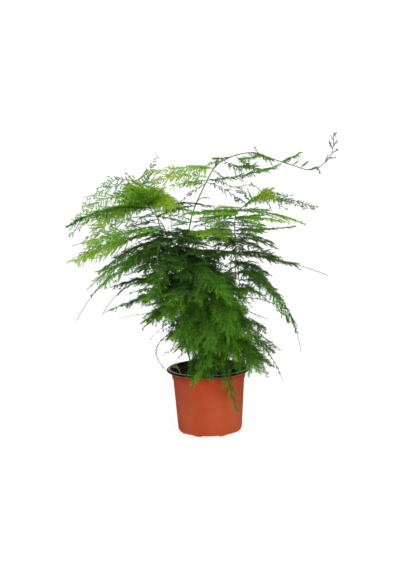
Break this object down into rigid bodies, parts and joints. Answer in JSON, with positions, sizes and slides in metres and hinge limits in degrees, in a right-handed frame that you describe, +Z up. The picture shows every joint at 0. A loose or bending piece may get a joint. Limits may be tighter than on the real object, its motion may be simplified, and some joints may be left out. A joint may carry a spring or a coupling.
{
  "type": "potted lace fern",
  "caption": "Lace fern: wiry stems rise from a round nursery pot of soil and carry flat, arching tiers of feathery sprays; one long climbing shoot trails to the right.",
  "frame": {"origin": "on the pot's axis at the level it stands on", "axes": "+Z up, -Y to the front, +X to the right, the way the climbing shoot trails"},
  "size_m": [0.3752, 0.2952, 0.4191],
  "materials": {
    "pot_plastic": "thermoformed plastic sheet, terracotta outside with a soft sheen, black inside and on the rolled rim",
    "potting_soil": "crumbly dark brown peat with reddish fibres, matt",
    "yellow_green": "young growth, pale yellow-green, fine matt needles",
    "bright_green": "bright green, fine matt needles",
    "fresh_green": "fresh green, fine matt needles",
    "mid_green": "mid green, fine matt needles",
    "deep_green": "deep green, fine matt needles"
  },
  "bodies": {
    "root": {"pot": "pot_plastic", "soil": "potting_soil", "climbing_stem": "yellow_green", "left_crown_stem": "bright_green", "left_middle_stem": "fresh_green", "pale_stem": "fresh_green", "right_crown_stem": "bright_green", "back_centre_stem": "deep_green", "right_low_stem": "mid_green", "left_low_stem": "mid_green", "middle_stem": "mid_green", "middle_right_stem": "mid_green", "front_middle_stem": "fresh_green", "front_left_stem": "mid_green", "front_right_stem": "fresh_green", "right_skirt_stem": "mid_green", "back_left_stem": "mid_green", "back_right_stem": "mid_green", "back_low_stem": "mid_green", "back_right_low_stem": "mid_green", "back_left_low_stem": "mid_green", "young_shoot": "yellow_green"}
  },
  "joints": []
}
